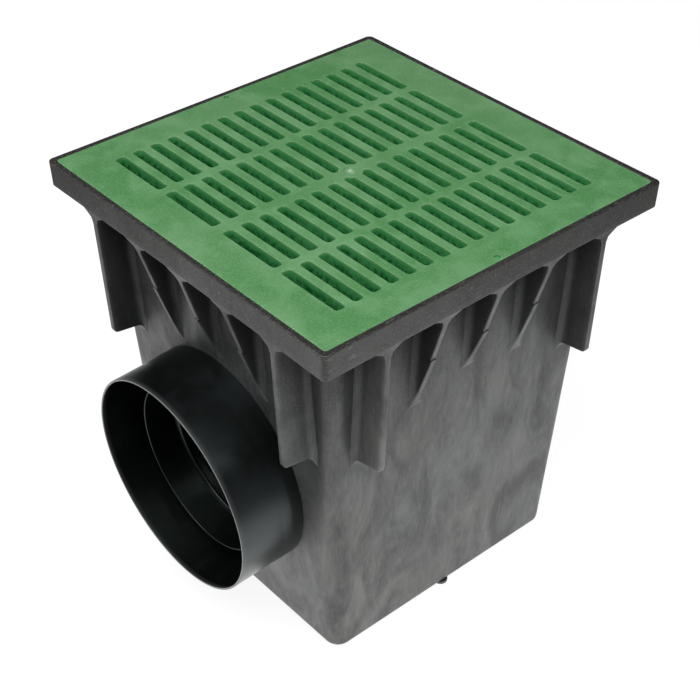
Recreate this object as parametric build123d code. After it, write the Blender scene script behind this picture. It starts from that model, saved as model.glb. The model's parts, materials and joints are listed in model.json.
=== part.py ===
from build123d import *
import math
import os

# A square plastic catch basin, with a slotted grate seated in its rim and a round outlet stub locked into a wall.
# All sizes are in millimetres. The origin is the centre of the flat underside, +Z is up,
# and the stub leaves the -Y wall.

# Grate
grate_width = 458.0
grate_height = 25.0
grate_corner_radius = 3.5
slot_columns = 16
slot_width = 12.2
slot_bar = 11.0
slot_length = 84.5
middle_bar = 16.0
cross_bar = 11.0
slot_corner_radius = 4.0
hub_radius = 14.0
gate_radius = 8.5
gate_depth = 1.0
dimple_radius = 3.5
dimple_depth = 2.5
dimple_inset = 6.5
grate_edge_radius = 1.0

# Hollows cored out of the underside of the grate's border
core_plate = 9.0
core_wall = 6.0
core_count = 9

# Basin rim and its seat for the grate
grate_clearance = 0.4
lip_thickness = 7.4
ledge_thickness = 6.0
rim_corner_radius = 6.0
rim_draft = 2.1
rim_edge_radius = 1.5
rim_top_radius = 1.2

# Basin body
basin_height = 500.0
rim_overhang = 40.1
wall_draft = 3.014
wall_thickness = 6.0
floor_thickness = 6.0
body_corner_radius = 18.0
base_edge_radius = 10.0

# Small lug at the foot of the +X wall
lug_radius = 7.0
lug_reach = 3.0
lug_height = 11.0

# Ribs under the rim, alike on all four walls
rib_thickness = 7.0
rib_root_radius = 7.5
rib_top_radius = 15.0
gusset_spacing = 75.0
gusset_step_drop = 65.0
gusset_step_inset = 20.2
gusset_step = 1.5
outer_gusset_drop = 140.0
middle_gusset_drop = 125.0
corner_rib_spacing = 154.0
corner_rib_drop = 163.0
corner_rib_inset = 7.5
corner_rib_slope = 5.0
corner_rib_radius = 7.0
corner_rib_toe_radius = 9.0

# Outlet stub, with an outer tube, an inner sleeve and a neck that snaps into the wall
outlet_height = 200.0
outlet_offset = -3.0
outlet_reach = 83.0
outlet_radius = 133.35
outlet_wall = 2.6
collar_length = 15.0
collar_step = 0.6
web_thickness = 4.0
sleeve_reach = 43.0
sleeve_radius = 106.0
sleeve_wall = 2.5
lip_radius = 0.9
bead_place = 1.0
bead_height = 4.0
bead_width = 5.0
neck_clearance = 0.3
snap_height = 4.0
snap_length = 4.0
snap_bevel = 2.0

# Levels, half widths and wall slope that follow from these
rim_base = basin_height - grate_height - ledge_thickness
ledge_top = basin_height - grate_height
ledge_middle = (rim_base + ledge_top) / 2
pocket_half = grate_width / 2 + grate_clearance
rim_half = pocket_half + lip_thickness
skirt_half = rim_half - (basin_height - rim_base) * math.tan(math.radians(rim_draft))
body_half = rim_half - rim_overhang
draft = math.radians(wall_draft)
wall_width = wall_thickness / math.cos(draft)
rib_top_half = skirt_half - rim_edge_radius

# How far a cutting shape runs past the face that it cuts
overrun = 2.0


def wall_at(height):
    """Half width across the outer faces of the body walls at a height."""
    return body_half - (rim_base - height) * math.tan(draft)


def root_at(height):
    """Half width to the middle of the walls' thickness at a height, where a rib's hidden root ends."""
    return wall_at(height) - wall_width / 2


def rounded_square(low, high, half, radius):
    """Upright square block with rounded corners between two heights."""
    return extrude(Plane.XY.offset(low) * RectangleRounded(2 * half, 2 * half, radius), amount=high - low)


def drafted_block(low, high, low_half, corner_radius, edge_radius):
    """Square block with four walls that lean out upwards, rounded uprights and a rounded edge round its base."""
    base = Plane.XY.offset(low) * Rectangle(2 * low_half, 2 * low_half)
    block = extrude(base, amount=high - low, taper=-wall_draft)
    uprights = block.edges().filter_by(lambda edge: abs(edge.tangent_at(0.5).Z) > math.cos(math.radians(45)))
    block = fillet(uprights, corner_radius)
    return fillet(block.faces().sort_by(Axis.Z)[0].edges(), edge_radius)


def rim_block():
    """Outside of the rim, a skirt that leans out upwards, with rounded corners and softened outer edges."""
    base = Plane.XY.offset(rim_base) * RectangleRounded(2 * skirt_half, 2 * skirt_half, rim_corner_radius)
    block = extrude(base, amount=basin_height - rim_base, taper=-rim_draft)
    block = fillet(block.faces().sort_by(Axis.Z)[0].edges(), rim_edge_radius)
    return fillet(block.faces().sort_by(Axis.Z)[-1].edges(), rim_top_radius)


def quarter_round(start, centre, end):
    """Quarter circle from start to end about a centre."""
    middle = (Vector(*start) + Vector(*end)) / 2 - Vector(*centre)
    radius = (Vector(*start) - Vector(*centre)).length
    through = Vector(*centre) + middle.normalized() * radius
    return ThreePointArc(start, (through.X, through.Y), end)


def flared_bar(root, foot, far, radius):
    """Cross section of a bar as thick as a rib, which spreads with a round on each side where it meets a face.

    The bar runs from far to the face at foot, and its spread end goes on to its root inside that face.
    """
    half = rib_thickness / 2
    wide = half + radius
    shoulder = foot + math.copysign(radius, far - foot)
    outline = [
        Line((root, -wide), (foot, -wide)),
        quarter_round((foot, -wide), (shoulder, -wide), (shoulder, -half)),
        Polyline((shoulder, -half), (far, -half), (far, half), (shoulder, half)),
        quarter_round((shoulder, half), (shoulder, wide), (foot, wide)),
        Polyline((foot, wide), (root, wide), (root, -wide)),
    ]
    return make_face(Curve() + outline)


def wall_rib(side, offset):
    """Rib on the +X wall at a place along it, cut to its side outline.

    It is two flared bars in one: a bar down the wall that spreads to meet the wall, and a bar out under the rim
    that spreads to meet the underside of the rim.
    """
    blade = extrude(Plane.XZ * side, amount=rim_half, both=True)
    wall_plane = Plane(
        origin=(wall_at(0), offset, 0),
        x_dir=(math.cos(draft), 0, -math.sin(draft)),
        z_dir=(math.sin(draft), 0, math.cos(draft)),
    )
    down = wall_plane * flared_bar(-wall_thickness / 2, 0, 2 * rim_overhang, rib_root_radius)
    down = extrude(down, amount=basin_height)
    rim_plane = Plane(origin=(0, offset, 0), x_dir=(0, 0, 1), z_dir=(1, 0, 0))
    out = rim_plane * flared_bar(ledge_middle, rim_base, 0, rib_top_radius)
    out = extrude(out, amount=rim_half)
    return blade & (down + out)


def gusset_side(drop):
    """Side outline of a gusset: straight in from the skirt, a small step out, then straight to its toe."""
    toe = rim_base - drop
    step = rim_base - gusset_step_drop
    step_half = rib_top_half - gusset_step_inset
    return make_face(
        Polyline(
            (root_at(toe), toe),
            (wall_at(toe), toe),
            (step_half + gusset_step, step - gusset_step / 2),
            (step_half, step),
            (rib_top_half, rim_base),
            (rib_top_half, ledge_middle),
            (root_at(ledge_middle), ledge_middle),
            close=True,
        )
    )


def corner_rib_side():
    """Side outline of a corner rib: nearly upright, with a rounded lower corner and a toe that flares down the wall."""
    low = rim_base - corner_rib_drop
    shoulder = low - corner_rib_slope
    toe = shoulder - corner_rib_toe_radius
    toe_half = wall_at(toe)
    toe_centre = (toe_half + corner_rib_toe_radius, toe)
    toe_end = (toe_half + corner_rib_toe_radius, shoulder)
    flare = quarter_round((toe_half, toe), toe_centre, toe_end)
    outline = Polyline(
        toe_end,
        (rib_top_half - corner_rib_inset, low),
        (rib_top_half, rim_base),
        (rib_top_half, ledge_middle),
        (root_at(ledge_middle), ledge_middle),
        (root_at(toe), toe),
        (toe_half, toe),
    )
    face = make_face(Curve() + [flare, outline])
    corner = face.vertices().sort_by_distance((rib_top_half - corner_rib_inset, low))[0]
    return fillet(corner, corner_rib_radius)


def wall_ribs():
    """The ribs of all four walls: a short gusset in the middle, a longer one each side and two corner ribs."""
    ribs = [wall_rib(gusset_side(middle_gusset_drop), 0)]
    for way in (-1, 1):
        ribs.append(wall_rib(gusset_side(outer_gusset_drop), way * gusset_spacing))
        ribs.append(wall_rib(corner_rib_side(), way * corner_rib_spacing))
    return [Rot(0, 0, turn) * rib for turn in (0, 90, 180, 270) for rib in ribs]


def outlet_plane():
    """Plane of the outlet's cross section: across the outlet is its X, and outwards square to the wall is its Y."""
    return Plane(
        origin=(outlet_offset, -wall_at(outlet_height), outlet_height),
        x_dir=(1, 0, 0),
        z_dir=(0, math.sin(draft), -math.cos(draft)),
    )


def make_basin():
    """The moulded basin: body, rim with the ledge that carries the grate, ribs, lug and outlet hole."""
    block = drafted_block(0, ledge_middle, wall_at(0), body_corner_radius, base_edge_radius)
    block = block + rim_block() + wall_ribs()
    block = block + Pos(wall_at(0) + lug_reach - lug_radius, 0, 0) * Cylinder(
        lug_radius, lug_height, align=(Align.CENTER, Align.CENTER, Align.MIN)
    )
    inner_half = wall_at(floor_thickness) - wall_width
    inner_corner = body_corner_radius - wall_thickness
    inner_edge = base_edge_radius - wall_thickness
    block = block - drafted_block(floor_thickness, ledge_top + overrun, inner_half, inner_corner, inner_edge)
    seat_radius = grate_corner_radius + grate_clearance
    block = block - rounded_square(ledge_top, basin_height + overrun, pocket_half, seat_radius)
    outward = outlet_plane().y_dir
    hole_plane = Plane(origin=outlet_plane().origin - outward * (wall_thickness + overrun), z_dir=outward)
    hole = Circle(sleeve_radius + neck_clearance)
    return block - extrude(hole_plane * hole, amount=wall_thickness + 2 * overrun)


def slot_rows():
    """Middles of the four rows of slots along X, which mirror about the middle bar."""
    inner = (middle_bar + slot_length) / 2
    outer = inner + slot_length + cross_bar
    return [-outer, -inner, inner, outer]


def border_cores(slot_edge, count):
    """Hollows under one side of the border, in a row along Y and clear of the slots and of the outer edge."""
    reach = grate_width / 2 - core_wall
    depth = reach - slot_edge - core_wall
    pitch = (2 * reach + core_wall) / count
    hollow = Box(depth, pitch - core_wall, grate_height - core_plate, align=(Align.MAX, Align.CENTER, Align.MIN))
    places = [Pos(reach, (index - (count - 1) / 2) * pitch, ledge_top) for index in range(count)]
    return [place * hollow for place in places]


def make_grate():
    """The grate: rows of slots, a round hub with a shallow gate mark, two blind dimples and a cored border."""
    block = rounded_square(ledge_top, basin_height, grate_width / 2, grate_corner_radius)
    pitch = slot_width + slot_bar
    slot = extrude(
        Plane.XY.offset(ledge_top - overrun) * RectangleRounded(slot_length, slot_width, slot_corner_radius),
        amount=grate_height + 2 * overrun,
    )
    columns = [(index - (slot_columns - 1) / 2) * pitch for index in range(slot_columns)]
    hub = extrude(Plane.XY.offset(ledge_top - 2 * overrun) * Circle(hub_radius), amount=2 * grate_height)
    slots = []
    for row in slot_rows():
        for column in columns:
            place = Pos(row, column, 0) * slot
            beside_hub = abs(row) < slot_length and abs(column) < pitch
            slots.append(place - hub if beside_hub else place)
    block = block - slots
    block = fillet(block.faces().sort_by(Axis.Z)[-1].edges(), grate_edge_radius)
    row_edge = slot_rows()[-1] + slot_length / 2
    column_edge = columns[-1] + slot_width / 2
    for turn in (0, 180):
        block = block - [Rot(0, 0, turn) * core for core in border_cores(row_edge, core_count)]
    side_cores = border_cores(column_edge, core_count)[1:-1]
    for turn in (90, 270):
        block = block - [Rot(0, 0, turn) * core for core in side_cores]
    gate = Circle(gate_radius)
    block = block - extrude(Plane.XY.offset(basin_height - gate_depth) * gate, amount=gate_depth + overrun)
    for way in (-1, 1):
        place = Pos(way * (grate_width / 2 - dimple_inset), 0, basin_height - dimple_depth)
        dimple = extrude(place * Circle(dimple_radius), amount=dimple_depth + overrun)
        block = block - dimple
    return block


def outlet_section():
    """Half section of the stub: distance from the axis, then distance outwards from the wall's outer face."""
    bore = sleeve_radius - sleeve_wall
    bead_radius = bead_width / 2
    bead_flank = bore - bead_height + bead_radius
    snap_start = -wall_thickness - neck_clearance
    snap_end = snap_start - snap_length
    snap_radius = sleeve_radius + snap_height
    bead = ThreePointArc(
        (bead_flank, bead_place - bead_radius),
        (bead_flank - bead_radius, bead_place),
        (bead_flank, bead_place + bead_radius),
    )
    outline = [
        Line((bore, bead_place - bead_radius), (bead_flank, bead_place - bead_radius)),
        bead,
        Polyline(
            (bead_flank, bead_place + bead_radius),
            (bore, bead_place + bead_radius),
            (bore, sleeve_reach),
            (sleeve_radius, sleeve_reach),
            (sleeve_radius, web_thickness),
            (outlet_radius - outlet_wall, web_thickness),
            (outlet_radius - outlet_wall, outlet_reach),
            (outlet_radius, outlet_reach),
            (outlet_radius, collar_length),
            (outlet_radius + collar_step, collar_length),
            (outlet_radius + collar_step, 0),
            (sleeve_radius, 0),
            (sleeve_radius, snap_start),
            (snap_radius, snap_start),
            (snap_radius, snap_end + snap_bevel),
            (snap_radius - snap_bevel, snap_end),
            (bore, snap_end),
            (bore, bead_place - bead_radius),
        ),
    ]
    face = make_face(Curve() + outline)
    lips = [
        (bore, sleeve_reach),
        (sleeve_radius, sleeve_reach),
        (outlet_radius - outlet_wall, outlet_reach),
        (outlet_radius, outlet_reach),
    ]
    return fillet([face.vertices().sort_by_distance(lip)[0] for lip in lips], lip_radius)


def make_outlet_stub():
    """The outlet stub, turned about its axis square to the drafted wall."""
    plane = outlet_plane()
    return revolve(plane * outlet_section(), Axis(plane.origin, plane.y_dir), 360)


nodes = {
    "basin": make_basin(),
    "grate": make_grate(),
    "outlet_stub": make_outlet_stub(),
}

os.makedirs("parts", exist_ok=True)
for name, shape in nodes.items():
    solids = shape.solids()
    export_step(solids[0] if len(solids) == 1 else shape, f"parts/{name}.step")
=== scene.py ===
import functools
import json
import math

import bmesh
import bpy
import numpy as np
from mathutils import Euler, Matrix, Vector


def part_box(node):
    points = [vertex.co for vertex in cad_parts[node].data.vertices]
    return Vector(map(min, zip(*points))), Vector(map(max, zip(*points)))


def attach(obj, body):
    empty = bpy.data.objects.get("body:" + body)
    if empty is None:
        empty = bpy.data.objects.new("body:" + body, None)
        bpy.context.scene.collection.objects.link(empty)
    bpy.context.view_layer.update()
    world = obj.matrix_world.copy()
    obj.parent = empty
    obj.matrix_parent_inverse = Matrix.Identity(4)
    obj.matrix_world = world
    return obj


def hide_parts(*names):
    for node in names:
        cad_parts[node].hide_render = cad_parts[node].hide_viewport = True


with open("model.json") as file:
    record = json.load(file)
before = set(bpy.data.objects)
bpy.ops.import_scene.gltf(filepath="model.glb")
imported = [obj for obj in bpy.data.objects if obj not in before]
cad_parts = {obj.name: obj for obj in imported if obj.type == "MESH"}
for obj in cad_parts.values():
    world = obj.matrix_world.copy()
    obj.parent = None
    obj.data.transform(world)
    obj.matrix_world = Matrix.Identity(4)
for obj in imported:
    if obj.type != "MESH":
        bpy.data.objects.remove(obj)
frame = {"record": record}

bl_info = {
    "name": "Catch basin",
    "version": (1, 0, 0),
    "blender": (4, 5, 0),
    "location": "View3D > Sidebar > Catch basin",
    "description": "Dresses a square plastic catch basin, its slotted grate and its outlet stub",
    "category": "Object",
}

# One millimetre in the scene's metres, and the body that every piece rides on
MM = 0.001
BODY = "root"

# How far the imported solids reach, out and up, and the mount on the outlet stub
RIM_HALF, _, RIM_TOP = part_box("basin")[1]
GRATE_HALF, _, GRATE_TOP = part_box("grate")[1]
GRATE_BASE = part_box("grate")[0][2]
OUTLET = next(mount for mount in frame["record"]["mounts"] if mount["name"] == "outlet")


def linear(code):
    """Linear red, green and blue of an sRGB hex colour, by the sRGB curve."""
    values = np.array([int(code[at:at + 2], 16) for at in (1, 3, 5)]) / 255
    curved = np.where(values > 0.04045, ((values + 0.055) / 1.055) ** 2.4, values / 12.92)
    return curved.tolist()


def length(description, millimetres):
    """A property for one size."""
    return bpy.props.FloatProperty(
        description=description, default=millimetres * MM, min=0, unit="LENGTH", subtype="DISTANCE"
    )


def bearing(description, degrees):
    """A property for an angle."""
    return bpy.props.FloatProperty(
        description=description, default=math.radians(degrees), subtype="ANGLE", unit="ROTATION"
    )


def amount(description, number):
    """A property for a plain number."""
    return bpy.props.FloatProperty(description=description, default=number, min=0)


def count(description, number, least):
    """A property for a number of equal parts."""
    return bpy.props.IntProperty(description=description, default=number, min=least)


def colour(description, code):
    """A property for one colour of a finish."""
    return bpy.props.FloatVectorProperty(
        description=description, default=(*linear(code), 1), min=0, max=1, size=4, subtype="COLOR"
    )


class BasinSizes(bpy.types.PropertyGroup):
    """Sizes of the moulded basin."""

    rim_height: length("Height of the skirt round the rim", 31)
    skirt_draft: length("How far the skirt leans in down to its lower edge", 1.14)
    overhang: length("From the rim's outer edge in to the body wall below it", 40.1)
    taper: length("How far each body wall leans in from the rim to the base", 24.7)
    wall: length("Thickness of the body walls", 6)
    floor: length("Thickness of the floor", 6)
    body_corner: length("Radius of the body's upright corners", 18)
    base_edge: length("Radius of the edge round the base", 10)
    rim_corner: length("Radius of the rim's corners", 6)
    seat_corner: length("Radius of the corners of the grate's seat", 3.9)
    rib: length("Thickness of each rib under the rim", 7)
    rib_root: length("Radius where a rib meets the wall", 7.5)
    rib_top: length("Radius where a rib meets the underside of the rim", 15)
    rib_inset: length("From the skirt in to the upper end of a rib's free edge", 1.5)
    rib_edge: length("Radius along the free edges of a rib", 1.3)
    gusset_pitch: length("From the middle gusset to the next", 75)
    outer_drop: length("Height of the two outer gussets", 140)
    middle_drop: length("Height of the middle gusset", 125)
    step_drop: length("From the rim down to the small step in a gusset's edge", 65)
    step_size: length("How far out the small step goes", 1.5)
    step_inset: length("From the skirt in to the small step in a gusset's edge", 20.2)
    corner_pitch: length("From the middle of a wall to its corner ribs", 154)
    corner_drop: length("Height of the corner ribs", 163)
    corner_slope: length("Fall of a corner rib's lower edge towards the wall", 5)
    corner_toe: length("Radius in which a corner rib's foot flares down the wall", 9)
    corner_lean: length("How far a corner rib's edge leans in down to its foot", 7.5)
    corner_heel: length("Radius between that edge and the foot", 7)
    lug: length("Radius of the small lug at the foot of one wall", 8.5)
    lug_reach: length("How far the lug stands out from the wall", 2)
    lug_height: length("Height of the lug", 3.5)
    gap: length("Clearance between the grate and the rim", 0.4)
    hole_gap: length("Clearance round the outlet stub's neck", 0.3)
    bow: length("How far the rim's sides bow in between its corners", 1.2)
    unevenness: length("How far the skin pulls in here and there as it cools", 0.4)


class GrateSizes(bpy.types.PropertyGroup):
    """Sizes of the slotted grate."""

    columns: count("Slots side by side in each row", 16, 2)
    slot_width: length("Width of each slot", 12.2)
    slot_length: length("Length of each slot", 84.5)
    slot_bar: length("Width of the bars between the slots of a row", 11)
    middle_bar: length("Width of the bar between the two middle rows", 16)
    cross_bar: length("Width of the bars between an inner and an outer row", 11)
    slot_corner: length("Radius of a slot's corners", 4)
    edge: length("Radius of the softened upper edges", 1)
    hub: length("Radius of the round land at the middle of the grate", 14)
    gate: length("Radius of the shallow moulding mark on the hub", 8.5)
    gate_depth: length("Depth of the gate mark and glint", 1)
    dimple: length("Radius of the two blind dimples in the border", 3.5)
    dimple_inset: length("From the plate's edge in to a dimple's middle", 6.5)
    dimple_depth: length("Depth of the dimples", 2.5)
    corner: length("Radius of the plate's corners", 3.5)
    cores: count("Hollows under each side of the border", 9, 3)
    core_wall: length("Thickness of the walls left round the hollows", 6)
    core_plate: length("Thickness of the plate left above the hollows", 9)


class OutletSizes(bpy.types.PropertyGroup):
    """Sizes of the outlet stub, measured outwards from the basin wall along the stub's axis."""

    reach: length("From the basin wall to the mouth", 83)
    wall: length("Thickness of the outer tube", 2.6)
    collar: length("Length of the slightly thicker collar beside the wall", 15)
    collar_step: length("How much thicker it is", 0.6)
    sleeve: length("Outer radius of the inner sleeve", 106)
    sleeve_reach: length("From the basin wall to the sleeve's lip", 43)
    sleeve_wall: length("Thickness of the sleeve", 2.5)
    lip: length("Radius of the softened lips", 0.9)
    web: length("Thickness of the web between the tube and the sleeve", 4)
    bead: length("How far the sealing bead stands into the bore", 4)
    neck: length("How far the snap neck reaches in through the wall", 10.3)
    snap: length("How far the lip at the neck's end stands out", 4)


class Finishes(bpy.types.PropertyGroup):
    """Colours of the three plastics."""

    basin: colour("Black structural foam, where it is darkest", "#0b0e0d")
    basin_cool: colour("The paler, bluish clouds in the foam's skin", "#525556")
    basin_warm: colour("The paler, brownish clouds in the foam's skin", "#565553")
    rim: colour("The warmer dark grey of the rim", "#211f1d")
    # Painted shade that darkens the rim's top
    rim_top_painted_shade: colour("The darker top of the rim", "#151412")
    # Also painted as a highlight along rubbed edges
    scuff: colour("Rubbed and scraped black plastic", "#8d8e8c")
    grate: colour("The green of the grate", "#457d46")
    grate_pale: colour("Paler marks where the green plastic flowed together", "#7fae7f")
    grate_wall: colour("The plain green of the slots' walls", "#3f9a54")
    # Also painted shade, deeper down in the slots
    grate_dark_and_shade: colour("The deeper green inside the slots", "#085c26")
    grate_grey: colour("The greyer skin round the hub and here and there", "#6b9368")
    # Also a painted glint at the gate
    gate_mark_and_glint: colour("The whitish mark where the plastic entered", "#c4d6c6")
    outlet: colour("The black of the outlet stub", "#050606")
    outlet_smear: colour("Faint smears on the outlet stub", "#151a1c")
    outlet_gloss: colour("The cool cast of what the outlet stub mirrors", "#e2f0f2")
    paper: colour("The paper that the object stands on", "#f6f6f6")


class StageSettings(bpy.types.PropertyGroup):
    """Where the camera stands and how bright the studio is."""

    azimuth: bearing("How far the camera stands round from the outlet's side", 49.26)
    elevation: bearing("How high the camera looks down from", 37.32)
    distance: length("From the camera to the point that it looks at", 1631.7)
    lens: amount("Focal length of the camera in millimetres", 77.47)
    aim: bpy.props.FloatVectorProperty(
        description="The point that the camera looks at",
        default=(88.5 * MM, -77.9 * MM, 345.4 * MM), subtype="TRANSLATION", unit="LENGTH",
    )
    roll: bearing("How far the camera is turned about its line of sight", -0.16)
    paper: length("From the middle of the paper to each of its sides", 6000)
    whiteness: amount("How much of the paper the camera sees as plain white", 0.76)
    white: amount("Brightness of that plain white", 1.17)
    pool: length("Radius of the bright paper close round the object", 550)
    pool_end: length("Radius from which the paper is its dimmest", 1000)
    beyond: amount("Brightness of the paper there, as a share of the pool's", 0.2)
    mirrored_pool: amount("How bright the object mirrors the pool", 1.4)
    key: amount("Power of each of the two large soft lamps", 28)
    key_size: length("Side of each lamp", 1500)
    sky: amount("Strength of the light from all round", 0.25)
    mirrored_sky: amount("How bright the object mirrors the sky high up", 0.03)
    mirrored_horizon: amount("How bright the object mirrors it low down", 0.35)
    horizon: amount("Sine of the angle at which the mirrored sky is dark enough", 0.4)


# Kinds of node that are used again and again
# A Mix node's colours are its inputs 6 and 7 and its output 2
NOISE, MAPPING, RAMP = "ShaderNodeTexNoise", "ShaderNodeMapping", "ShaderNodeMapRange"
MIX, MATH, VECTORS = "ShaderNodeMix", "ShaderNodeMath", "ShaderNodeVectorMath"

# How finely curved parts are divided
ARC_STEPS = 6
SQUARE_SIDE_STEPS = 44
SQUARE_CORNER_STEPS = 8
LATHE_STEPS = 256
LUG_STEPS = 48
DIMPLE_STEPS = 40
FLANK_STEPS = 12
# Points closer than this become one, and a radius this small ends up as a point
WELD = 0.005 * MM
SPECK = WELD / 8
# How far past a rounding its support point lies
SUPPORT = 0.06 * MM
# Width of the ring of the hub's land that belongs to the slots beside it
HUB_LAND = 4.8 * MM
# How deep a rib's hidden root reaches into the wall, and its hidden end into the rim
ROOT_DEPTH, TOP_DEPTH = 1.5 * MM, 2 * MM
# Faces that meet at more than this keep a sharp edge
SHARP = math.radians(35)
UP = (0, 0, 1)

# Where the two lamps stand in metres, and the point that they face
LAMPS = {"left": (-0.32, -1.2, 2.16), "right": (1.2, -0.32, 2.16)}
LAMPS_FACE = (0, 0, 0.25)


def unit(vector):
    """The vector at a length of one."""
    return vector / np.linalg.norm(vector)


def round_corner(before, corner, after, radius):
    """Arc that rounds one corner of a path, with a point past it on each side to keep the flats flat.

    The arc's centre lies on the corner's bisector at the radius over the sine of half its angle. The arc
    turns from one touching point to the other by sin((1-t)w)/sin(w) and sin(tw)/sin(w) of the two spokes.
    """
    if radius == 0:
        return corner[None]
    back, ahead = unit(before - corner), unit(after - corner)
    half = np.arccos(np.clip(back @ ahead, -1, 1)) / 2
    reach = radius / np.tan(half)
    centre = corner + unit(back + ahead) * radius / np.sin(half)
    first, last = corner + back * reach - centre, corner + ahead * reach - centre
    turn = np.pi - 2 * half
    t = np.linspace(0, 1, ARC_STEPS + 1)[:, None]
    arc = centre + (np.sin((1 - t) * turn) * first + np.sin(t * turn) * last) / np.sin(turn)
    return np.vstack([arc[0] + back * SUPPORT, arc, arc[-1] + ahead * SUPPORT])


def rounded_path(corners, radii, longest):
    """Path through corners, each inner one rounded by its own radius, with long runs divided evenly."""
    corners = np.asarray(corners, float)
    rounds = [
        round_corner(before, corner, after, radius)
        for before, corner, after, radius in zip(corners[:-2], corners[1:-1], corners[2:], radii)
    ]
    points = np.vstack([corners[:1], *rounds, corners[-1:]])
    run = np.linalg.norm(np.diff(points, axis=0), axis=1)
    place = np.r_[0, np.cumsum(run)]
    shares = [
        np.linspace(start, end, max(1, math.ceil(step / longest)), endpoint=False)
        for start, end, step in zip(place[:-1], place[1:], run)
    ]
    places = np.r_[(*shares, place[-1])]
    return np.stack([np.interp(places, place, column) for column in points.T], axis=1)


def ring_rows(half_x, half_y, radius, height, x_along, y_along, corner_steps=SQUARE_CORNER_STEPS):
    """Rounded rectangles, one to a row, each at its height.

    Each is four straight sides, with points at the given shares of their length from -1 up to 1, and four
    quarter circles between them, each its centre plus the radius times (cos, sin).
    """
    half_x, half_y, radius, height = np.array([half_x, half_y, radius, height])[..., None]
    inner_x, inner_y = half_x - radius, half_y - radius
    angle = np.linspace(0, np.pi / 2, corner_steps, endpoint=False)
    parts = []
    for quarter, (way_x, way_y) in enumerate([(1, 1), (-1, 1), (-1, -1), (1, -1)]):
        if quarter % 2 == 0:
            side = (way_x * half_x, way_y * inner_y * y_along)
        else:
            side = (way_x * inner_x * x_along, way_y * half_y)
        turned = angle + quarter * np.pi / 2
        corner = (way_x * inner_x + radius * np.cos(turned), way_y * inner_y + radius * np.sin(turned))
        parts += [np.stack(np.broadcast_arrays(*part, height), axis=-1) for part in (side, corner)]
    return np.concatenate(parts, axis=1)


def lathe(profile, origin, axis, steps):
    """Surface of revolution: origin + radius (cos u, sin u) across the axis + distance along the axis."""
    axis = unit(np.asarray(axis, float))
    across = unit(np.cross(UP if abs(axis[2]) < 0.9 else (0, 1, 0), axis))
    up = np.cross(axis, across)
    turn = np.linspace(0, 2 * np.pi, steps, endpoint=False)[None, :, None]
    radius, along = profile[:, :1, None], profile[:, 1:2, None]
    return np.asarray(origin) + radius * (np.cos(turn) * across + np.sin(turn) * up) + along * axis


def with_wear_and_highlight(points, wear_and_highlight=0):
    """Points of a grid with a fourth column, how worn the plastic is there and how much painted highlight
    it gets.
    """
    wear_and_highlight = np.broadcast_to(np.asarray(wear_and_highlight, float), points.shape[:-1])
    return np.concatenate([points, wear_and_highlight[..., None]], axis=-1)


def ripple(points, wavelength, seed):
    """Smooth unevenness between -1 and 1: the mean of sine waves in directions drawn from a fixed seed."""
    draw = np.random.default_rng(seed)
    number = 7
    ways = draw.normal(size=(number, 3))
    ways /= np.linalg.norm(ways, axis=1)[:, None]
    waves = 2 * np.pi / (wavelength * draw.uniform(0.6, 1.8, number))
    starts = draw.uniform(0, 2 * np.pi, number)
    return np.sin(points @ (ways * waves[:, None]).T + starts).mean(axis=-1)


def placed(name, data):
    """A new object in the scene for a mesh, a lamp or a camera."""
    thing = bpy.data.objects.new(name, data)
    bpy.context.scene.collection.objects.link(thing)
    return thing


def mesh_object(name, grids):
    """One mesh from grids of points that each close on themselves across their columns.

    Points closer than the weld distance become one, and the faces are turned outwards. The fourth number of
    each point, its wear together with its painted edge highlight, goes into the mesh as a point attribute.
    """
    points, quads, first = [], [], 0
    for grid in grids:
        rows, columns = grid.shape[:2]
        row, column = np.meshgrid(np.arange(rows - 1), np.arange(columns), indexing="ij")
        near, beside = row * columns + column, row * columns + (column + 1) % columns
        corners = np.stack([near, beside, beside + columns, near + columns], axis=-1)
        quads.append(first + corners.reshape(-1, 4))
        points.append(grid.reshape(-1, 4))
        first += rows * columns
    points, quads = np.concatenate(points), np.concatenate(quads)
    mesh = bpy.data.meshes.new(name)
    mesh.from_pydata(points[:, :3], [], quads)
    mesh.attributes.new("wear_and_highlight", "FLOAT", "POINT").data.foreach_set("value", points[:, 3].astype(np.float32))
    work = bmesh.new()
    work.from_mesh(mesh)
    bmesh.ops.remove_doubles(work, verts=work.verts, dist=WELD)
    bmesh.ops.dissolve_degenerate(work, edges=work.edges, dist=WELD / 4)
    bmesh.ops.recalc_face_normals(work, faces=work.faces)
    work.to_mesh(mesh)
    work.free()
    return placed(name, mesh)


def drill(piece, holes):
    """Cuts closed grids out of a piece, exactly, and leaves one plain mesh."""
    cutter = mesh_object(piece.name + "_cutter", holes)
    cut = piece.modifiers.new("Holes", "BOOLEAN")
    cut.operation = "DIFFERENCE"
    cut.solver = "EXACT"
    cut.object = cutter
    shown = piece.evaluated_get(bpy.context.evaluated_depsgraph_get())
    mesh = bpy.data.meshes.new_from_object(shown)
    piece.modifiers.clear()
    piece.data = mesh
    bpy.data.objects.remove(cutter)


def finish_piece(piece, material, node):
    """Shades a piece smooth up to its true edges, gives it its material and puts it in its node's place."""
    piece.data.shade_smooth()
    piece.data.set_sharp_from_angle(angle=SHARP)
    piece.data.materials.clear()
    piece.data.materials.append(material)
    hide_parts(node)
    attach(piece, BODY)


def rod(radius, low, high, origin, axis, steps):
    """Closed round rod between two places along an axis, for cutting holes."""
    profile = np.array([(0, low), (radius, low), (radius, high), (0, high)], float)
    return with_wear_and_highlight(lathe(profile, origin, axis, steps))


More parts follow.
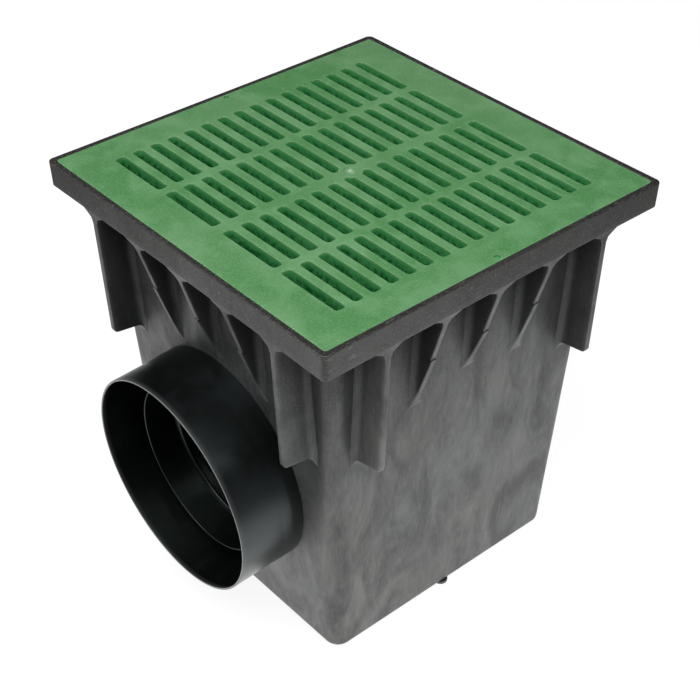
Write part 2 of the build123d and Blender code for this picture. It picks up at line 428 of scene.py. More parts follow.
def add(tree, kind, inputs=(), output=0, **settings):
    """Adds a node to a tree with its settings and its links, and gives one of its outputs.

    Inputs are a dict by name or number, or a row in the node's own order. One that is a socket is linked,
    and any other sets the input's value.
    """
    node = tree.nodes.new(kind)
    for key, value in settings.items():
        setattr(node, key, value)
    for key, value in inputs.items() if isinstance(inputs, dict) else enumerate(inputs):
        if isinstance(value, bpy.types.NodeSocket):
            tree.links.new(value, node.inputs[key])
        else:
            node.inputs[key].default_value = value
    return node.outputs[output]


def plastic(name):
    """A new material, what adds nodes to it, its Object coordinates, and its wear with painted edge
    highlight.
    """
    material = bpy.data.materials.new(name)
    material.use_nodes = True
    node = functools.partial(add, material.node_tree)
    place = node("ShaderNodeTexCoord", output="Object")
    return material, node, place, node("ShaderNodeAttribute", output="Fac", attribute_name="wear_and_highlight")


def cover(material, tone, roughness, relief, depth):
    """Gives a material's shader its base colour, its roughness and a relief of a depth."""
    tree = material.node_tree
    shader = tree.nodes["Principled BSDF"]
    bump = add(tree, "ShaderNodeBump", {"Height": relief, "Distance": depth})
    for name, value in (("Base Color", tone), ("Roughness", roughness), ("Normal", bump)):
        tree.links.new(value, shader.inputs[name])
    return shader


def round_share(distance, radius):
    """What a quarter round of a radius adds to a half thickness, at a distance from the face it meets."""
    left = np.clip(radius - distance, 0, radius)
    return radius - np.sqrt(radius**2 - left**2)


def wall_half(basin, height):
    """Half width across the body walls at a height, which grows evenly from the base to the rim."""
    under = RIM_TOP - basin.rim_height
    return RIM_HALF - basin.overhang - basin.taper * (under - height) / under


def basin_shell(basin):
    """The body and rim: one closed profile of half width over height, swept round rounded squares."""
    under = RIM_TOP - basin.rim_height
    skirt = RIM_HALF - basin.skirt_draft
    pocket = GRATE_HALF + basin.gap
    foot, shoulder = wall_half(basin, 0), wall_half(basin, under)
    inner_foot = wall_half(basin, basin.floor) - basin.wall
    inner_top = wall_half(basin, GRATE_BASE) - basin.wall
    body_corner, inner_corner = basin.body_corner, basin.body_corner - basin.wall
    rim_straight = skirt - basin.rim_corner
    # Half width, height, half length of the straight side between two corners, and rounding of the profile
    stations = [
        (0, 0, 0, 0),
        (foot - 1.2 * basin.base_edge, 0, foot - body_corner, 0),
        (foot, 0, foot - body_corner, basin.base_edge),
        (shoulder, under, shoulder - body_corner, 1 * MM),
        (skirt - 0.7 * basin.rim_corner, under, rim_straight, 0),
        (skirt, under, rim_straight, 1.5 * MM),
        (RIM_HALF, RIM_TOP, rim_straight, 1.2 * MM),
        (pocket, RIM_TOP, pocket - basin.seat_corner, 0.8 * MM),
        (pocket, GRATE_BASE, pocket - basin.seat_corner, 0.5 * MM),
        (inner_top, GRATE_BASE, inner_top - inner_corner, 1 * MM),
        (inner_foot, basin.floor, inner_foot - inner_corner, 4 * MM),
        (0, basin.floor, 0, 0),
    ]
    stations = np.array(stations)
    half, height, straight = rounded_path(stations[:, :3], stations[1:-1, 3], longest=9 * MM).T
    side = np.linspace(-1, 1, SQUARE_SIDE_STEPS, endpoint=False)
    points = ring_rows(half, half, half - straight, height, side, side)
    # The skin pulls in a little unevenly as it cools, except in the seat of the grate and just round it
    reach = np.abs(points[..., :2]).max(axis=-1)
    seat = np.where(points[..., 2] > under + 1 * MM, np.clip((reach - pocket - 2 * MM) / (3 * MM), 0, 1), 1)
    pull = basin.unevenness * (1 + ripple(points, wavelength=150 * MM, seed=4)) / 2 * seat
    # The rim's sides also bow in between their corners
    along = np.abs(points[..., :2]).min(axis=-1)
    on_rim = (points[..., 2] > under - 1 * MM) * np.clip((reach - shoulder) / (20 * MM), 0, 1)
    pull += basin.bow * (1 - (along / RIM_HALF) ** 2) * on_rim * seat
    points[..., :2] *= (1 - pull / np.maximum(reach, 100 * MM))[..., None]
    # The lower edge of the rim is rubbed, and the same mark paints a highlight along it
    gap = np.hypot(half - skirt, height - under)
    return with_wear_and_highlight(points, np.exp(-((gap / (1.6 * MM)) ** 2))[:, None])


def rib(basin, outline, radii, offset):
    """Closed skin of one rib on the +X wall, in rows from its hidden root out to its free edge and back.

    The free edge follows the outline O, whose inward normal is N. Half the thickness is half the rib plus
    the larger of two quarter rounds, one where it meets the wall and one where it meets the rim. Round the
    edge, a point is O + e (1 - sin f) N, at half the thickness less e (1 - cos f), for f from 0 to a right
    angle.
    """
    under = RIM_TOP - basin.rim_height
    edge = rounded_path(outline, radii, longest=7 * MM)
    along = np.gradient(edge, axis=0)
    along /= np.linalg.norm(along, axis=1)[:, None]
    inward = np.stack([along[:, 1], -along[:, 0]], axis=1)
    run = np.r_[0, np.cumsum(np.linalg.norm(np.diff(edge, axis=0), axis=1))]
    root_height = edge[0, 1] + (edge[-1, 1] - edge[0, 1]) * run / run[-1]
    root = np.stack([wall_half(basin, root_height) - ROOT_DEPTH, root_height], axis=1)
    # The points crowd towards the root, where the rib flares
    share = (np.linspace(0, 1, FLANK_STEPS, endpoint=False) ** 1.6)[None, :, None]
    turn = np.linspace(0, np.pi / 2, ARC_STEPS - 1)[None, :, None]
    flank = root[:, None] + share * (edge + basin.rib_edge * inward - root)[:, None]
    bend = edge[:, None] + basin.rib_edge * (1 - np.sin(turn)) * inward[:, None]
    section = np.concatenate([flank, bend], axis=1)
    from_wall = section[..., 0] - wall_half(basin, section[..., 1])
    from_rim = under - section[..., 1]
    spread = np.maximum(round_share(from_wall, basin.rib_root), round_share(from_rim, basin.rib_top))
    half = basin.rib / 2 + spread
    half[:, flank.shape[1]:] -= basin.rib_edge * (1 - np.cos(turn[..., 0]))
    near = np.stack([section[..., 0], half, section[..., 1]], axis=-1)
    skin = np.concatenate([near, (near * (1, -1, 1))[:, ::-1]], axis=1)
    top = np.broadcast_to(skin[:1].mean(axis=1, keepdims=True), skin[:1].shape)
    toe = np.broadcast_to(skin[-1:, :1] * (1, 0, 1), skin[:1].shape)
    skin = np.concatenate([top, skin, toe]) + (0, offset, 0)
    # The rows round the free edge are worn, and the same mark paints a highlight along it
    wear_and_highlight = np.zeros(skin.shape[1])
    wear_and_highlight[flank.shape[1]:-flank.shape[1]] = 1
    return with_wear_and_highlight(skin, wear_and_highlight)


def basin_ribs(basin):
    """The ribs of the +X wall, turned to all four walls: three gussets and two corner ribs on each."""
    under = RIM_TOP - basin.rim_height
    lip = RIM_HALF - basin.skirt_draft - basin.rib_inset
    hidden = (lip, under + TOP_DEPTH)
    step = (lip - basin.step_inset, under - basin.step_drop)
    ledge = (step[0] + basin.step_size, step[1] - basin.step_size / 2)
    pitch = basin.gusset_pitch
    ribs = []
    for offset, drop in ((0, basin.middle_drop), (-pitch, basin.outer_drop), (pitch, basin.outer_drop)):
        toe = under - drop
        outline = [hidden, (lip, under), step, ledge, (wall_half(basin, toe), toe)]
        ribs.append(rib(basin, outline, [0, 0.6 * MM, 0.4 * MM], offset))
    low = under - basin.corner_drop
    shoulder = low - basin.corner_slope
    toe = shoulder - basin.corner_toe
    wall = wall_half(basin, toe)
    heel = (lip - basin.corner_lean, low)
    outline = [hidden, (lip, under), heel, (wall + 0.4 * basin.corner_toe, shoulder), (wall, toe)]
    radii = [0, basin.corner_heel, 0.8 * basin.corner_toe]
    ribs += [rib(basin, outline, radii, way * basin.corner_pitch) for way in (-1, 1)]
    quarter = np.array([(0, 1, 0, 0), (-1, 0, 0, 0), (0, 0, 1, 0), (0, 0, 0, 1)])
    return [skin @ np.linalg.matrix_power(quarter, turns) for turns in range(4) for skin in ribs]


def outlet_line(outlet):
    """Where the stub's axis meets the outer face of the wall, and the way that it points."""
    axis = unit(np.array(OUTLET["axis"], float))
    mouth = np.array(OUTLET["pos_m"], float) + axis * OUTLET["dims"]["length_mm"] * MM / 2
    return mouth - axis * outlet.reach, axis


def grate_places(grate):
    """Middles of the slots along X and along Y, and the edges along X between the rows of slots."""
    inner = (grate.middle_bar + grate.slot_length) / 2
    outer = inner + grate.slot_length + grate.cross_bar
    between = (inner + outer) / 2
    last = 2 * outer - between
    rows = np.array([-outer, -inner, inner, outer])
    edges = np.array([-last, -between, 0, between, last])
    pitch = grate.slot_width + grate.slot_bar
    columns = (np.arange(grate.columns) - (grate.columns - 1) / 2) * pitch
    return rows, columns, edges


def grate_shares(grate):
    """Shares of their sides at which a slot and its land have points, one of them where the hub crosses."""
    rows, _, _ = grate_places(grate)
    crossing = rows[2] - math.sqrt(grate.hub**2 - (grate.slot_bar / 2) ** 2)
    end = crossing / (grate.slot_length / 2 - grate.slot_corner)
    return np.r_[-1, -end, np.linspace(-0.88, 0.88, 12), end], np.linspace(-1, 1, 4, endpoint=False)


def edge_rings(edge, shares):
    """How far the rings over a softened edge lie from the wall below it, and how far under the top.

    The first lies out on the flat. Round the edge they are e (1 - sin f) out and e (1 - cos f) down, for f
    from 0 to a right angle. The others lie down the wall, at 3 e and at shares of the grate's depth.
    """
    turn = np.linspace(0, np.pi / 2, ARC_STEPS)
    depth = GRATE_TOP - GRATE_BASE
    out = np.r_[1.4 * edge, edge * (1 - np.sin(turn)), np.zeros(1 + len(shares))]
    down = np.r_[0, edge * (1 - np.cos(turn)), 3 * edge, depth * np.array(shares)]
    return out, down


def slot_cell(grate, middle, column, low, high):
    """One slot and the land round it, in rings: the land's outline, softened edge, walls and underside."""
    x_along, y_along = grate_shares(grate)
    grown, fall = edge_rings(grate.edge, [0.4, 0.8, 1])
    land_x, land_y = (high - low) / 2, (grate.slot_width + grate.slot_bar) / 2
    half_x = np.r_[land_x, grate.slot_length / 2 + grown, land_x]
    half_y = np.r_[land_y, grate.slot_width / 2 + grown, land_y]
    radius = np.r_[SPECK, grate.slot_corner + grown, SPECK]
    height = np.r_[GRATE_TOP, GRATE_TOP - fall, GRATE_BASE]
    shift = np.full(len(height), middle)
    shift[[0, -1]] = (low + high) / 2
    points = ring_rows(half_x, half_y, radius, height, x_along, y_along)
    points[..., 0] += shift[:, None]
    points[..., 1] += column
    if abs(middle) < grate.slot_length and abs(column) < 2 * land_y:
        # Beside the hub, the land's outline goes round the hub's disc, and the slot stops at the hub
        least = grate.hub - np.r_[HUB_LAND, grown, HUB_LAND]
        side_counts = (len(y_along), len(x_along))
        signs = np.sign([middle, column])
        quarter = {(-1, -1): 0, (1, -1): 1, (1, 1): 2, (-1, 1): 3}[tuple(signs)]
        start = sum(side_counts[turn % 2] for turn in range(quarter + 1)) + SQUARE_CORNER_STEPS * quarter
        angle = np.linspace(0, np.pi / 2, SQUARE_CORNER_STEPS, endpoint=False)
        if middle * column > 0:
            angle = np.pi / 2 - angle
        arc = (grate.hub - HUB_LAND) * signs * np.stack([np.cos(angle), np.sin(angle)], axis=-1)
        points[[[0], [-1]], start + np.arange(SQUARE_CORNER_STEPS), :2] = arc
        out = np.hypot(points[..., 0], points[..., 1])
        points[..., :2] *= np.maximum(1, least[:, None] / np.maximum(out, SPECK / 2))[..., None]
    # The softened upper edge is worn, and the same mark paints a highlight along it
    wear_and_highlight = np.r_[0, 0.4, np.ones(ARC_STEPS), np.zeros(5)]
    return with_wear_and_highlight(points, wear_and_highlight[:, None])


def grate_border(grate):
    """The land from the slots out to the plate's softened edge, then its sides and its underside."""
    _, columns, edges = grate_places(grate)
    x_along, y_along = grate_shares(grate)
    land = (grate.slot_width + grate.slot_bar) / 2
    reach_x, reach_y = edges[-1], columns[-1] + land
    middles, halves = (edges[1:] + edges[:-1]) / 2, (edges[1:] - edges[:-1]) / 2
    x_shares = (middles[:, None] + halves[:, None] * x_along).ravel() / reach_x
    y_shares = (columns[:, None] + land * y_along).ravel() / reach_y
    inset, fall = edge_rings(grate.edge, [0.5, 1])
    share = np.array([0, 0.35, 0.7])
    half_x, half_y = (
        np.r_[reach + share * (GRATE_HALF - reach), GRATE_HALF - inset, reach]
        for reach in (reach_x, reach_y)
    )
    radius = np.r_[SPECK + share * 2 * MM, grate.corner - inset, SPECK]
    height = np.r_[GRATE_TOP + 0 * share, GRATE_TOP - fall, GRATE_BASE]
    points = ring_rows(half_x, half_y, radius, height, x_shares, y_shares)
    # The softened edge is worn, and the same mark paints a highlight along it
    wear_and_highlight = np.r_[0 * share, 0.4, np.ones(ARC_STEPS), np.zeros(4)]
    return with_wear_and_highlight(points, wear_and_highlight[:, None])


def hub_discs(grate):
    """The round land at the middle, above with its shallow gate mark, and below."""
    rim, deep, soft = grate.hub - HUB_LAND, GRATE_TOP - grate.gate_depth, 0.3 * MM
    stations = [(rim, GRATE_TOP), (grate.gate, GRATE_TOP), (grate.gate - soft, deep), (0, deep)]
    mark = rounded_path(stations, [soft, soft], longest=3 * MM)
    floor = rounded_path([(rim, GRATE_BASE), (0, GRATE_BASE)], [], longest=4 * MM)
    steps = 4 * SQUARE_CORNER_STEPS
    return [with_wear_and_highlight(lathe(profile, (0, 0, 0), UP, steps)) for profile in (mark, floor)]


def border_cores(grate):
    """Hollows cored out of the underside of the border, as closed blocks: a row along each side."""
    _, columns, edges = grate_places(grate)
    below, ceiling = GRATE_BASE - 2 * MM, GRATE_TOP - grate.core_plate
    outer = GRATE_HALF - grate.core_wall
    pitch = (2 * outer + grate.core_wall) / grate.cores
    half_y = (pitch - grate.core_wall) / 2
    blocks = []
    # From the middle out to the slots, the hollows left out at each end, and whether the row runs along X
    along_y = (edges[-1] - grate.cross_bar / 2, 0, False)
    along_x = (columns[-1] + grate.slot_width / 2, 1, True)
    for reach, skip, turned in (along_y, along_x):
        inner = reach + grate.core_wall
        half_x, middle = (outer - inner) / 2, (outer + inner) / 2
        size = np.array([0, 1, 1, 0])
        side = np.array([-1, 0])
        height = [below, below, ceiling, ceiling]
        block = ring_rows(half_x * size, half_y * size, MM * size, height, side, side, 3)
        for index in range(skip, grate.cores - skip):
            place = (index - (grate.cores - 1) / 2) * pitch
            for way in (-1, 1):
                moved = block + (way * middle, place, 0)
                blocks.append(with_wear_and_highlight(moved[..., [1, 0, 2]] if turned else moved))
    return blocks


def outlet_skin(outlet):
    """The stub's section turned about its axis: outer tube, web, inner sleeve, sealing bead, snap neck."""
    tube = OUTLET["dims"]["r_mm"] * MM
    inside, collar = tube - outlet.wall, tube + outlet.collar_step
    sleeve, bore, lip = outlet.sleeve, outlet.sleeve - outlet.sleeve_wall, outlet.lip
    beaded, snap, end = bore - outlet.bead, sleeve + outlet.snap, -outlet.neck
    soft = 0.3 * MM
    # Radius, distance out from the wall, and rounding, in order round the section
    stations = [
        (bore, -6 * MM, 0),
        (bore, -1.5 * MM, soft),
        (beaded, -1.5 * MM, 2.4 * MM),
        (beaded, 3.5 * MM, 2.4 * MM),
        (bore, 3.5 * MM, soft),
        (bore, outlet.sleeve_reach, lip),
        (sleeve, outlet.sleeve_reach, lip),
        (sleeve, outlet.web, 0.6 * MM),
        (inside, outlet.web, 0.6 * MM),
        (inside, outlet.reach, lip),
        (tube, outlet.reach, lip),
        (tube, outlet.collar + 12 * MM, 11 * MM),
        (collar, outlet.collar, 11 * MM),
        (collar, 0, 0),
        (sleeve, 0, 0),
        (sleeve, end + 4 * MM, 0),
        (snap, end + 4 * MM, soft),
        (snap, end + 2 * MM, soft),
        (snap - 2 * MM, end, soft),
        (bore, end, soft),
        (bore, -6 * MM, 0),
    ]
    stations = np.array(stations)
    profile = rounded_path(stations[:, :2], stations[1:-1, 2], longest=5 * MM)
    points = lathe(profile, *outlet_line(outlet), LATHE_STEPS)
    # The mouth's lip is scraped, and the same mark paints a highlight along it
    from_lip = np.linalg.norm(profile - (tube - outlet.wall / 2, outlet.reach), axis=1)
    return with_wear_and_highlight(points, np.exp(-((from_lip / (1.2 * MM)) ** 2))[:, None])


def basin_plastic(finish, under):
    """Black recycled polyethylene with a foamed core, moulded at low pressure.

    It is matt and finely pitted, and gas that streaked its skin left smoky clouds, bluish and brownish.
    Its hollows, the walls under the rim and the rim's top carry painted shade, and its edges painted
    highlight.
    """
    material, node, place, wear_and_highlight = plastic("Black polyethylene structural foam")
    height = node("ShaderNodeSeparateXYZ", (place,), "Z")
    # Clouds 60 mm across with wisps of 18 mm in them, drawn out up the walls as the plastic flowed
    flow = node(MAPPING, {"Vector": place, "Rotation": (0.35, 0.4, 0), "Scale": (1, 1, 0.5)})
    pattern = {"Vector": flow, "Scale": 1 / (60 * MM), "Detail": 5, "Roughness": 0.55, "Distortion": 1.4}
    clouds = node(NOISE, pattern)
    wisps = node(NOISE, {"Vector": flow, "Scale": 1 / (18 * MM), "Detail": 3, "Distortion": 2})
    smoke = node(MATH, (wisps, 0.25, clouds), operation="MULTIPLY_ADD")
    # Painted shade: under the rim there are fewer of them, which darkens the skin there
    most = node(RAMP, (height, under - 179 * MM, under - 29 * MM, 1, 0.3))
    clouds_and_painted_shade = node(RAMP, {0: smoke, 1: 0.4, 2: 0.81, 4: most})
    # A slow change from bluish to brownish, 110 mm across
    cast = node(NOISE, {"Vector": place, "Scale": 1 / (110 * MM), "Distortion": 1})
    cast = node(RAMP, (cast, 0.42, 0.58))
    pale = node(MIX, {0: cast, 6: finish.basin_cool, 7: finish.basin_warm}, 2, data_type="RGBA")
    # Fibres 2 mm wide along the flow
    strands = node(MAPPING, {"Vector": place, "Rotation": (0.15, 0.2, 0), "Scale": (1, 1, 0.1)})
    fibres = node(NOISE, {"Vector": strands, "Scale": 1 / (2 * MM), "Detail": 3, "Distortion": 0.4})
    fibrous = node(RAMP, (fibres, 0.48, 0.72, 0, 0.16))
    # The rim, which tools and boots rub, is warmer, and its top is darkened by painted shade
    on_rim = node(RAMP, (height, under - 2 * MM, under + 2 * MM))
    warmer = node(MATH, (on_rim, 0.8), operation="MULTIPLY")
    painted_dark_top = node(RAMP, (height, RIM_TOP - 1.6 * MM, RIM_TOP - 0.4 * MM, 0, 0.9))
    # Pale grains of 1.8 mm, coarser than the real pitting so that they show, and more of them higher up
    grain = node(NOISE, {"Vector": place, "Scale": 1 / (1.8 * MM), "Roughness": 0.6})
    most = node(RAMP, (height, under - 169 * MM, under - 69 * MM, 0.1, 0.3))
    grainy = node(RAMP, {0: grain, 1: 0.52, 2: 0.72, 4: most})
    # Rubbed edges, which also carry a painted highlight, and scuffs 12 mm long on the rim
    patches = node(NOISE, {"Vector": place, "Scale": 1 / (30 * MM), "Detail": 3})
    patches = node(RAMP, (patches, 0.35, 0.65, 0.05, 0.35))
    rubbed_and_highlight = node(MATH, (wear_and_highlight, patches), operation="MULTIPLY")
    marks = node(MAPPING, {"Vector": place, "Rotation": (0.7, 0.3, 0.9), "Scale": (1, 0.3, 1)})
    scuffs = node(NOISE, {"Vector": marks, "Scale": 1 / (4 * MM), "Detail": 3})
    scuffs = node(RAMP, (scuffs, 0.62, 0.76, 0, 0.35))
    scuffs = node(MATH, (scuffs, on_rim), operation="MULTIPLY")
    scraped_and_highlight = node(MATH, (rubbed_and_highlight, scuffs), operation="MAXIMUM")
    tone = finish.basin
    for share, paint in (
        (clouds_and_painted_shade, pale), (fibrous, finish.scuff), (warmer, finish.rim), (painted_dark_top, finish.rim_top_painted_shade),
        (grainy, finish.scuff), (scraped_and_highlight, finish.scuff),
    ):
        tone = node(MIX, {0: share, 6: tone, 7: paint}, 2, data_type="RGBA")
    # Painted shade: the hollows, found by ambient occlusion, go back to the darkest black and are rougher,
    # and what stands out keeps its paler tone and is smoother
    openness_for_painted_shade = node("ShaderNodeAmbientOcclusion", {"Distance": 80 * MM}, "AO", samples=8, only_local=True)
    share = node(RAMP, (openness_for_painted_shade, 0.4, 0.95))
    tone = node(MIX, {0: share, 6: finish.basin, 7: tone}, 2, data_type="RGBA")
    rough = node(RAMP, (openness_for_painted_shade, 0.4, 0.95, 0.95, 0.4))
    # The skin is smoother in the clouds
    smooth = node(RAMP, (smoke, 0.48, 0.78, 0.58, 0.46))
    rough = node(MATH, (smooth, rough), operation="MAXIMUM")
    lumps = node(NOISE, {"Vector": place, "Scale": 1 / (8 * MM), "Detail": 3})
    relief = node(MATH, (lumps, 2, grain), operation="MULTIPLY_ADD")
    relief = node(MATH, (relief, fibres))
    cover(material, tone, rough, relief, 0.1 * MM).inputs["Specular IOR Level"].default_value = 1
    return material


def grate_plastic(finish):
    """Green moulded polyethylene: satin, mottled and fibrous from its flow, with painted shade deeper in
    the slots.
    """
    material, node, place, wear_and_highlight = plastic("Green moulded polyethylene")
    top = GRATE_TOP
    height = node("ShaderNodeSeparateXYZ", (place,), "Z")
    # Soft mottle 30 mm across, and greyer areas of 120 mm
    mottle = node(NOISE, {"Vector": place, "Scale": 1 / (30 * MM), "Detail": 5, "Distortion": 0.6})
    mottled = node(RAMP, (mottle, 0.42, 0.7, 0, 0.3))
    areas = node(NOISE, {"Vector": place, "Scale": 1 / (120 * MM)})
    greyer = node(RAMP, (areas, 0.4, 0.62, 0, 0.4))
    # Curled fibres about 1.5 mm wide, and specks of 2.5 mm
    curls = node(NOISE, {"Vector": place, "Scale": 1 / (14 * MM), "Detail": 1, "Distortion": 4})
    curls = node(MATH, (curls, 0.06), operation="PINGPONG")
    curls = node(RAMP, (curls, 0.035, 0.06, 0, 0.28))
    specks = node(NOISE, {"Vector": place, "Scale": 1 / (2.5 * MM), "Detail": 3, "Roughness": 0.65})
    speckled = node(RAMP, (specks, 0.5, 0.75, 0, 0.5))
    # The plastic entered at the middle, where the skin is greyer, and a small whitish spot there is a
    # painted glint as well as the gate's mark
    flat = node(VECTORS, (place, (1, 1, 0)), operation="MULTIPLY")
    out = node(VECTORS, (flat,), "Value", operation="LENGTH")
    middle = node(RAMP, (out, 20 * MM, 75 * MM, 0.35, 0))
    smear = node(NOISE, {"Vector": place, "Scale": 1 / (5 * MM), "Detail": 3})
    smear = node(RAMP, (smear, 0.4, 0.6))
    spot = node(RAMP, (out, 2 * MM, 6 * MM, 0.75, 0))
    mark = node(MATH, (smear, spot), operation="MULTIPLY")
    # The slots' walls are a plain green; painted shade makes them deeper green lower down, in blotches, and
    # the upper edges are a little rubbed and paler, partly a painted highlight
    wall = node(RAMP, (height, top - 2.4 * MM, top - 1.2 * MM, 0.8, 0))
    blotches = node(NOISE, {"Vector": place, "Scale": 1 / (5 * MM), "Detail": 3})
    blotches = node(RAMP, (blotches, 0.42, 0.58, 0.25, 1))
    # Painted shade: darker green lower in the slots
    deep = node(RAMP, (height, top - 9 * MM, top - 2.4 * MM, 1, 0))
    deep = node(MATH, (deep, blotches), operation="MULTIPLY")
    rubbed_and_highlight = node(MATH, (wear_and_highlight, 0.15), operation="MULTIPLY")
    tone = finish.grate
    for share, paint in (
        (mottled, finish.grate_pale), (greyer, finish.grate_grey), (curls, finish.grate_pale),
        (speckled, finish.grate_pale), (middle, finish.grate_grey), (mark, finish.gate_mark_and_glint),
        (wall, finish.grate_wall), (deep, finish.grate_dark_and_shade), (rubbed_and_highlight, finish.grate_pale),
    ):
        tone = node(MIX, {0: share, 6: tone, 7: paint}, 2, data_type="RGBA")
    lumps = node(NOISE, {"Vector": place, "Scale": 1 / (9 * MM), "Detail": 3})
    relief = node(MATH, (lumps, 2.5, specks), operation="MULTIPLY_ADD")
    cover(material, tone, node(RAMP, (mottle, 0.3, 0.7, 0.42, 0.55)), relief, 0.1 * MM)
    return material


def outlet_plastic(finish):
    """Black polyethylene off a polished mould: smooth, cool gloss, faint smears, a scraped, painted-highlit
    mouth.
    """
    material, node, place, wear_and_highlight = plastic("Black smooth polyethylene")
    # Smears 25 mm across
    smears = node(NOISE, {"Vector": place, "Scale": 1 / (25 * MM), "Detail": 4, "Distortion": 0.8})
    smeared = node(RAMP, (smears, 0.5, 0.75, 0, 0.25))
    # The scraped lip is paler, and that is partly a painted highlight
    scraped_and_highlight = node(MATH, (wear_and_highlight, 0.8), operation="MULTIPLY")
    tone = finish.outlet
    for share, paint in ((smeared, finish.outlet_smear), (scraped_and_highlight, finish.scuff)):
        tone = node(MIX, {0: share, 6: tone, 7: paint}, 2, data_type="RGBA")
    waves = node(NOISE, {"Vector": place, "Scale": 1 / (14 * MM)})
    shader = cover(material, tone, node(RAMP, (smears, 0.3, 0.7, 0.3, 0.36)), waves, 0.08 * MM)
    shader.inputs["Specular IOR Level"].default_value = 0.7
    shader.inputs["Specular Tint"].default_value = finish.outlet_gloss
    return material


class CATCHBASIN_OT_basin(bpy.types.Operator):
    """Builds the moulded basin"""

    bl_idname = "catchbasin.basin"
    bl_label = "Basin"

    def execute(self, context):
        settings = context.scene.catch_basin
        basin, outlet = settings.basin, settings.outlet
        piece = mesh_object("basin_moulding", [basin_shell(basin)])
        start, axis = outlet_line(outlet)
        # The hole that the stub's neck passes through
        drill(piece, [rod(outlet.sleeve + basin.hole_gap, -14 * MM, 8 * MM, start, axis, LATHE_STEPS)])
        corners = [(0, 0), (basin.lug, 0), (basin.lug, basin.lug_height), (0, basin.lug_height)]
        foot = wall_half(basin, 0) + basin.lug_reach - basin.lug
        profile = rounded_path(corners, [0, 0.8 * MM], longest=3 * MM)
        lug = lathe(profile, (foot, 0, 0), UP, LUG_STEPS)
        ribs = mesh_object("basin_ribs", [*basin_ribs(basin), with_wear_and_highlight(lug)])
        whole = bmesh.new()
        whole.from_mesh(piece.data)
        whole.from_mesh(ribs.data)
        whole.to_mesh(piece.data)
        whole.free()
        bpy.data.objects.remove(ribs)
        plastic_finish = basin_plastic(settings.finish, RIM_TOP - basin.rim_height)
        finish_piece(piece, plastic_finish, "basin")
        return {"FINISHED"}


class CATCHBASIN_OT_grate(bpy.types.Operator):
    """Builds the slotted grate"""

    bl_idname = "catchbasin.grate"
    bl_label = "Grate"

    def execute(self, context):
        settings = context.scene.catch_basin
        grate = settings.grate
        rows, columns, edges = grate_places(grate)
        cells = [
            slot_cell(grate, middle, column, low, high)
            for middle, low, high in zip(rows, edges[:-1], edges[1:])
            for column in columns
        ]
        piece = mesh_object("grate_plate", [*cells, grate_border(grate), *hub_discs(grate)])
        places = [(way * (GRATE_HALF - grate.dimple_inset), 0, GRATE_TOP) for way in (-1, 1)]
        depth = -grate.dimple_depth
        dimples = [rod(grate.dimple, depth, 2 * MM, place, UP, DIMPLE_STEPS) for place in places]
        drill(piece, dimples + border_cores(grate))
        finish_piece(piece, grate_plastic(settings.finish), "grate")
        return {"FINISHED"}


class CATCHBASIN_OT_outlet(bpy.types.Operator):
    """Builds the outlet stub"""

    bl_idname = "catchbasin.outlet"
    bl_label = "Outlet stub"

    def execute(self, context):
        settings = context.scene.catch_basin
        piece = mesh_object("outlet_tube", [outlet_skin(settings.outlet)])
        finish_piece(piece, outlet_plastic(settings.finish), "outlet_stub")
        return {"FINISHED"}


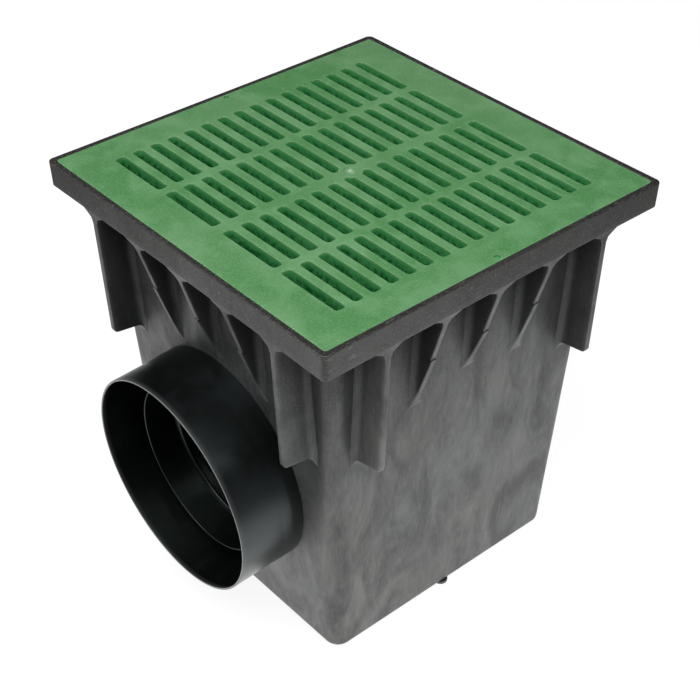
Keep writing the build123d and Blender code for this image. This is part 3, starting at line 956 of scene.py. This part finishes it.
class CATCHBASIN_OT_stage(bpy.types.Operator):
    """Sets up the white studio and the camera at the photograph's view"""

    bl_idname = "catchbasin.stage"
    bl_label = "Stage"

    def execute(self, context):
        stage, finish = context.scene.catch_basin.stage, context.scene.catch_basin.finish
        size = stage.paper
        corners = [(-size, -size, 0), (size, -size, 0), (size, size, 0), (-size, size, 0)]
        mesh = bpy.data.meshes.new("floor")
        mesh.from_pydata(corners, [], [(0, 1, 2, 3)])
        floor = placed("floor", mesh)
        # Just clear of the underside
        floor.location.z = -0.2 * MM
        # White paper. The camera sees it as nearly plain white, so the object's shadow stays faint. Past
        # that, a pool
        # of light is painted: the paper close round the object is paler and glows in what the object
        # mirrors, and beyond that it is darker
        paper = bpy.data.materials.new("White paper sweep")
        paper.use_nodes = True
        tree = paper.node_tree
        tree.nodes.clear()
        node = functools.partial(add, tree)
        path = node("ShaderNodeLightPath").node
        seen, mirrored = path.outputs["Is Camera Ray"], path.outputs["Is Glossy Ray"]
        place = node("ShaderNodeTexCoord", output="Object")
        out = node(VECTORS, (place,), "Value", operation="LENGTH")
        pool = node(RAMP, (out, stage.pool, stage.pool_end, 1, stage.beyond))
        share = node(MATH, (pool, seen), operation="MAXIMUM")
        tone = node(MIX, {0: share, 6: (0, 0, 0, 1), 7: finish.paper}, 2, data_type="RGBA")
        matt = node("ShaderNodeBsdfDiffuse", (tone,))
        # The painted glow that the object mirrors, brightest in the pool
        shine = node(MATH, (pool, stage.mirrored_pool), operation="MULTIPLY")
        painted_glow = node("ShaderNodeEmission", ((1, 1, 1, 1), shine))
        white = node("ShaderNodeEmission", ((1, 1, 1, 1), stage.white))
        lit = node("ShaderNodeMixShader", (mirrored, matt, painted_glow))
        share = node(MATH, (seen, stage.whiteness), operation="MULTIPLY")
        both = node("ShaderNodeMixShader", (share, lit, white))
        tree.links.new(both, tree.nodes.new("ShaderNodeOutputMaterial").inputs["Surface"])
        mesh.materials.append(paper)
        # A world that the camera sees as white, and that the object mirrors as dim, but less so low down
        world = bpy.data.worlds.new("Studio")
        world.use_nodes = True
        context.scene.world = world
        tree = world.node_tree
        node = functools.partial(add, tree)
        path = node("ShaderNodeLightPath").node
        way = node("ShaderNodeTexCoord", output="Generated")
        rise = node("ShaderNodeSeparateXYZ", (way,), "Z")
        sheen = node(RAMP, (rise, 0, stage.horizon, stage.mirrored_horizon, stage.mirrored_sky))
        strength = node(RAMP, {0: path.outputs["Is Glossy Ray"], 3: stage.sky, 4: sheen})
        strength = node(MATH, (strength, path.outputs["Is Camera Ray"]), operation="MAXIMUM")
        background = tree.nodes["Background"]
        tree.links.new(strength, background.inputs["Strength"])
        background.inputs["Color"].default_value = (1, 1, 1, 1)
        for name, place in LAMPS.items():
            light = bpy.data.lights.new(name, "AREA")
            light.size, light.energy = stage.key_size, stage.key
            lamp = placed(name, light)
            lamp.location = place
            lamp.rotation_euler = (Vector(LAMPS_FACE) - lamp.location).to_track_quat("-Z", "Y").to_euler()
        # The camera stands back from its aim along its own Z, the third column of its turn
        turn = Euler((math.pi / 2 - stage.elevation, 0, stage.azimuth)).to_matrix()
        turn @= Matrix.Rotation(stage.roll, 3, "Z")
        camera = placed("camera", bpy.data.cameras.new("camera"))
        camera.data.lens = stage.lens
        place = Vector(stage.aim) + turn.col[2] * stage.distance
        camera.matrix_world = Matrix.Translation(place) @ turn.to_4x4()
        context.scene.camera = camera
        context.scene.view_settings.view_transform = "Standard"
        return {"FINISHED"}


class CatchBasin(bpy.types.PropertyGroup):
    """Everything that can be set about the object and its studio."""

    basin: bpy.props.PointerProperty(type=BasinSizes)
    grate: bpy.props.PointerProperty(type=GrateSizes)
    outlet: bpy.props.PointerProperty(type=OutletSizes)
    finish: bpy.props.PointerProperty(type=Finishes)
    stage: bpy.props.PointerProperty(type=StageSettings)


OPERATORS = (CATCHBASIN_OT_basin, CATCHBASIN_OT_grate, CATCHBASIN_OT_outlet, CATCHBASIN_OT_stage)


class VIEW3D_PT_catch_basin(bpy.types.Panel):
    """Lists the steps that build the catch basin, with their settings"""

    bl_label = "Catch basin"
    bl_space_type = "VIEW_3D"
    bl_region_type = "UI"
    bl_category = "Catch basin"

    def draw(self, context):
        settings = context.scene.catch_basin
        groups = (settings.basin, settings.grate, settings.outlet, settings.stage)
        for step, group in zip(OPERATORS, groups):
            box = self.layout.box()
            box.operator(step.bl_idname)
            for name in group.__annotations__:
                box.prop(group, name)
        for name in settings.finish.__annotations__:
            self.layout.prop(settings.finish, name)


SETTINGS = (BasinSizes, GrateSizes, OutletSizes, Finishes, StageSettings, CatchBasin)
CLASSES = (*SETTINGS, *OPERATORS, VIEW3D_PT_catch_basin)


def register():
    """Labels each setting by its own name, and makes the settings, steps and panel known to Blender."""
    for group in SETTINGS:
        for name, setting in group.__annotations__.items():
            setting.keywords["name"] = name.replace("_", " ").capitalize()
    for kind in CLASSES:
        bpy.utils.register_class(kind)
    bpy.types.Scene.catch_basin = bpy.props.PointerProperty(type=CatchBasin)


def unregister():
    """Takes them away again."""
    del bpy.types.Scene.catch_basin
    for kind in reversed(CLASSES):
        bpy.utils.unregister_class(kind)


def main():
    """Builds the pieces and the stage in order."""
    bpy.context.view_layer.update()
    register()
    steps = bpy.ops.catchbasin
    for step in (steps.basin, steps.grate, steps.outlet, steps.stage):
        step()


if __name__ == "__main__":
    main()
